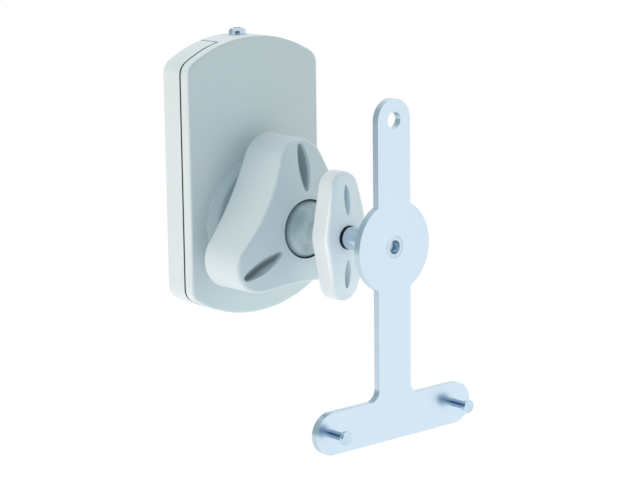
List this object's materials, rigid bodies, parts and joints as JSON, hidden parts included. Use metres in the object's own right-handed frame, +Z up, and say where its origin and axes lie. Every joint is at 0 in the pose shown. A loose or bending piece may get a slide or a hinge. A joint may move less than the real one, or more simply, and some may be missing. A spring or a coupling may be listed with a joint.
{
  "type": "speaker wall bracket",
  "caption": "Wall bracket for a small loudspeaker: arched wall plate with a clip-on cover, a clamped ball joint with a lobed knob, a wing knob on a pivot pin, and a sheet adapter with pegs.",
  "frame": {"origin": "on the wall, at the middle of the wall plate's back face", "axes": "+X to the right seen from the room, +Y into the wall, +Z up; the bracket stands out along -Y"},
  "size_m": [0.0812, 0.1081, 0.1546],
  "materials": {
    "white_plastic": "fine satin, moulded",
    "grey_plastic": "smooth gloss, moulded",
    "black_nylon": "satin",
    "natural_nylon": "satin",
    "rubber": "matt",
    "brass": "turned",
    "zinc_plated_steel": "bright zinc",
    "spring_steel": "blackened",
    "plated_steel": "bright satin plating"
  },
  "bodies": {
    "base": {"wall_plate": "white_plastic", "front_cover": "white_plastic", "lock_screw": "zinc_plated_steel", "lock_nut": "zinc_plated_steel", "socket_flange": "white_plastic", "flange_screws": "zinc_plated_steel", "flange_washers": "zinc_plated_steel"},
    "seat": {"seat_pad": "rubber"},
    "liner": {"ball_liner": "natural_nylon"},
    "ball": {"ball_stem": "grey_plastic", "pin_bush": "black_nylon"},
    "ring": {"slip_ring": "black_nylon"},
    "clamp": {"clamp_knob": "white_plastic"},
    "wing": {"wing_knob": "white_plastic", "wing_insert": "brass"},
    "adapter": {"pivot_pin": "plated_steel", "pin_circlip": "spring_steel", "adapter_plate": "plated_steel", "peg_left": "plated_steel", "peg_right": "plated_steel"}
  },
  "joints": [
    {"name": "ball_spin", "type": "hinge", "parent": "base", "child": "seat", "pos_m": [0, -0.04035, -0.0179], "axis": [0, -1, 0], "continuous": true},
    {"name": "ball_pan", "type": "hinge", "parent": "seat", "child": "liner", "pos_m": [0, -0.04035, -0.0179], "axis": [0, 0, 1], "range_deg": [-22, 22]},
    {"name": "ball_tilt", "type": "hinge", "parent": "liner", "child": "ball", "pos_m": [0, -0.04035, -0.0179], "axis": [1, 0, 0], "range_deg": [-18, 18]},
    {"name": "clamp_travel", "type": "slide", "parent": "base", "child": "ring", "axis": [0, -1, 0], "range_m": [0, 0.0015]},
    {"name": "clamp_turn", "type": "hinge", "parent": "ring", "child": "clamp", "pos_m": [0, -0.04035, -0.0179], "axis": [0, -1, 0], "range_deg": [0, 270]},
    {"name": "wing_turn", "type": "hinge", "parent": "ball", "child": "wing", "pos_m": [0, -0.04035, -0.0179], "axis": [0, -1, 0], "range_deg": [0, 270]},
    {"name": "adapter_swivel", "type": "hinge", "parent": "ball", "child": "adapter", "pos_m": [0, -0.04035, -0.0179], "axis": [0, -1, 0], "continuous": true}
  ],
  "couplings": [
    {"joint": "clamp_travel", "follows": "clamp_turn", "m_per_rad": 0.00031831}
  ]
}
